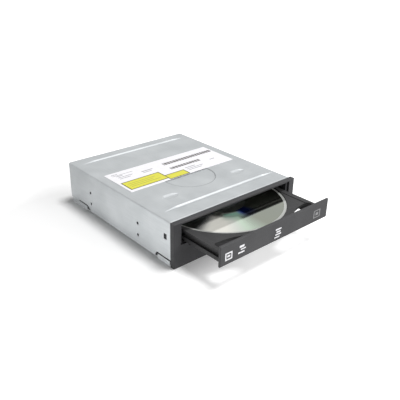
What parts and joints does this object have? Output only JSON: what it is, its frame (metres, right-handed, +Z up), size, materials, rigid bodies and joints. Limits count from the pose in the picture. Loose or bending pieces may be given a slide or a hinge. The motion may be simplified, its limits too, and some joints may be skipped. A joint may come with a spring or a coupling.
{
  "type": "internal dvd-rom drive",
  "caption": "Half-height internal optical drive in a zinc-plated case with charcoal bezel; its motor-driven tray slides out carrying a disc.",
  "frame": {"origin": "centre of the four bottom mounting screw holes, on the bottom face", "axes": "+X to the right seen from the front, +Y from the bezel to the back, +Z up"},
  "size_m": [0.148, 0.217, 0.042],
  "materials": {
    "zinc_steel": "satin zinc plate",
    "black_moulding": "fine spark texture",
    "bezel_plastic": "fine spark texture, charcoal",
    "tray_plastic": "satin moulding, charcoal",
    "button_plastic": "satin",
    "clear_plastic": "polished",
    "disc_polycarbonate": "mirror with interference colours",
    "natural_acetal": "satin natural acetal",
    "belt_rubber": "matt",
    "damper_rubber": "matt",
    "bright_steel": "ground",
    "motor_steel": "drawn can",
    "diecast": "as cast",
    "screw_steel": "zinc plate",
    "board_laminate": "green solder mask",
    "chip_epoxy": "matt epoxy",
    "capacitor_can": "printed sleeve",
    "connector_black": "glass filled nylon",
    "connector_white": "natural nylon",
    "pin_metal": "tin and gold plate",
    "flex_film": "polyimide film",
    "cable_white": "white flat cable",
    "label_paper": "coated label",
    "lens_glass": "coated",
    "lamp_body": "tinted epoxy"
  },
  "bodies": {
    "chassis": {"top_cover": "zinc_steel", "bottom_cover": "zinc_steel", "foot_screws": "screw_steel", "front_bezel": "bezel_plastic", "led_lens": "clear_plastic", "main_frame": "black_moulding", "drive_belt": "belt_rubber", "loading_motor": "motor_steel", "cam_slide": "natural_acetal", "lift_frame": "black_moulding", "traverse_deck": "zinc_steel", "dampers": "damper_rubber", "damper_screws": "screw_steel", "spindle_motor": "motor_steel", "guide_rod_main": "bright_steel", "guide_rod_sub": "bright_steel", "feed_motor": "motor_steel", "clamper_bridge": "zinc_steel", "bridge_screws": "screw_steel", "main_board": "board_laminate", "board_screws": "screw_steel", "board_chips": "chip_epoxy", "board_capacitors": "capacitor_can", "ata_connector": "connector_black", "ata_pins": "pin_metal", "power_connector": "connector_white", "power_pins": "pin_metal", "jumper_header": "connector_black", "jumper_cap": "connector_white", "audio_connector": "connector_black", "front_board": "board_laminate", "eject_switch": "chip_epoxy", "led": "lamp_body", "front_cable": "cable_white", "pickup_flex": "flex_film", "rating_label": "label_paper"},
    "tray_body": {"tray": "tray_plastic", "tray_bezel": "bezel_plastic", "disc": "disc_polycarbonate"},
    "button_body": {"eject_button": "button_plastic"},
    "drive_gear_body": {"drive_gear": "natural_acetal"},
    "pulley_gear_body": {"pulley_gear": "natural_acetal"},
    "motor_pulley_body": {"motor_pulley": "natural_acetal"},
    "turntable_body": {"turntable": "black_moulding"},
    "pickup_body": {"pickup_sled": "diecast", "pickup_lens": "lens_glass", "feed_nut": "natural_acetal"},
    "lead_screw_body": {"lead_screw": "bright_steel"},
    "clamper_body": {"clamper": "black_moulding", "clamper_yoke": "bright_steel"}
  },
  "joints": [
    {"name": "tray_slide", "type": "slide", "parent": "chassis", "child": "tray_body", "axis": [0, -1, 0], "range_m": [-0.046, 0.089]},
    {"name": "button_press", "type": "slide", "parent": "chassis", "child": "button_body", "axis": [0, 1, 0], "range_m": [0, 0.0008], "stiffness_N_per_m": 400},
    {"name": "drive_gear_turn", "type": "hinge", "parent": "chassis", "child": "drive_gear_body", "pos_m": [0.026, -0.06903, 0.02], "axis": [0, 0, 1], "continuous": true},
    {"name": "pulley_gear_turn", "type": "hinge", "parent": "chassis", "child": "pulley_gear_body", "pos_m": [0.006, -0.06903, 0.018], "axis": [0, 0, 1], "continuous": true},
    {"name": "motor_pulley_turn", "type": "hinge", "parent": "chassis", "child": "motor_pulley_body", "pos_m": [-0.032, -0.07003, 0.0177], "axis": [0, 0, 1], "continuous": true},
    {"name": "turntable_turn", "type": "hinge", "parent": "chassis", "child": "turntable_body", "pos_m": [0, -0.02202, 0.02], "axis": [0, 0, 1], "continuous": true},
    {"name": "pickup_travel", "type": "slide", "parent": "chassis", "child": "pickup_body", "axis": [0, 1, 0], "range_m": [0, 0.034]},
    {"name": "lead_screw_turn", "type": "hinge", "parent": "chassis", "child": "lead_screw_body", "pos_m": [0.035, 0.00298, 0.0108], "axis": [0, 1, 0], "continuous": true},
    {"name": "clamper_turn", "type": "hinge", "parent": "chassis", "child": "clamper_body", "pos_m": [0, -0.02202, 0.037], "axis": [0, 0, 1], "continuous": true}
  ],
  "couplings": [
    {"joint": "drive_gear_turn", "follows": "tray_slide", "rad_per_m": -125},
    {"joint": "pulley_gear_turn", "follows": "tray_slide", "rad_per_m": 321.43},
    {"joint": "motor_pulley_turn", "follows": "tray_slide", "rad_per_m": 1339.3},
    {"joint": "lead_screw_turn", "follows": "pickup_travel", "rad_per_m": 2094.4}
  ]
}
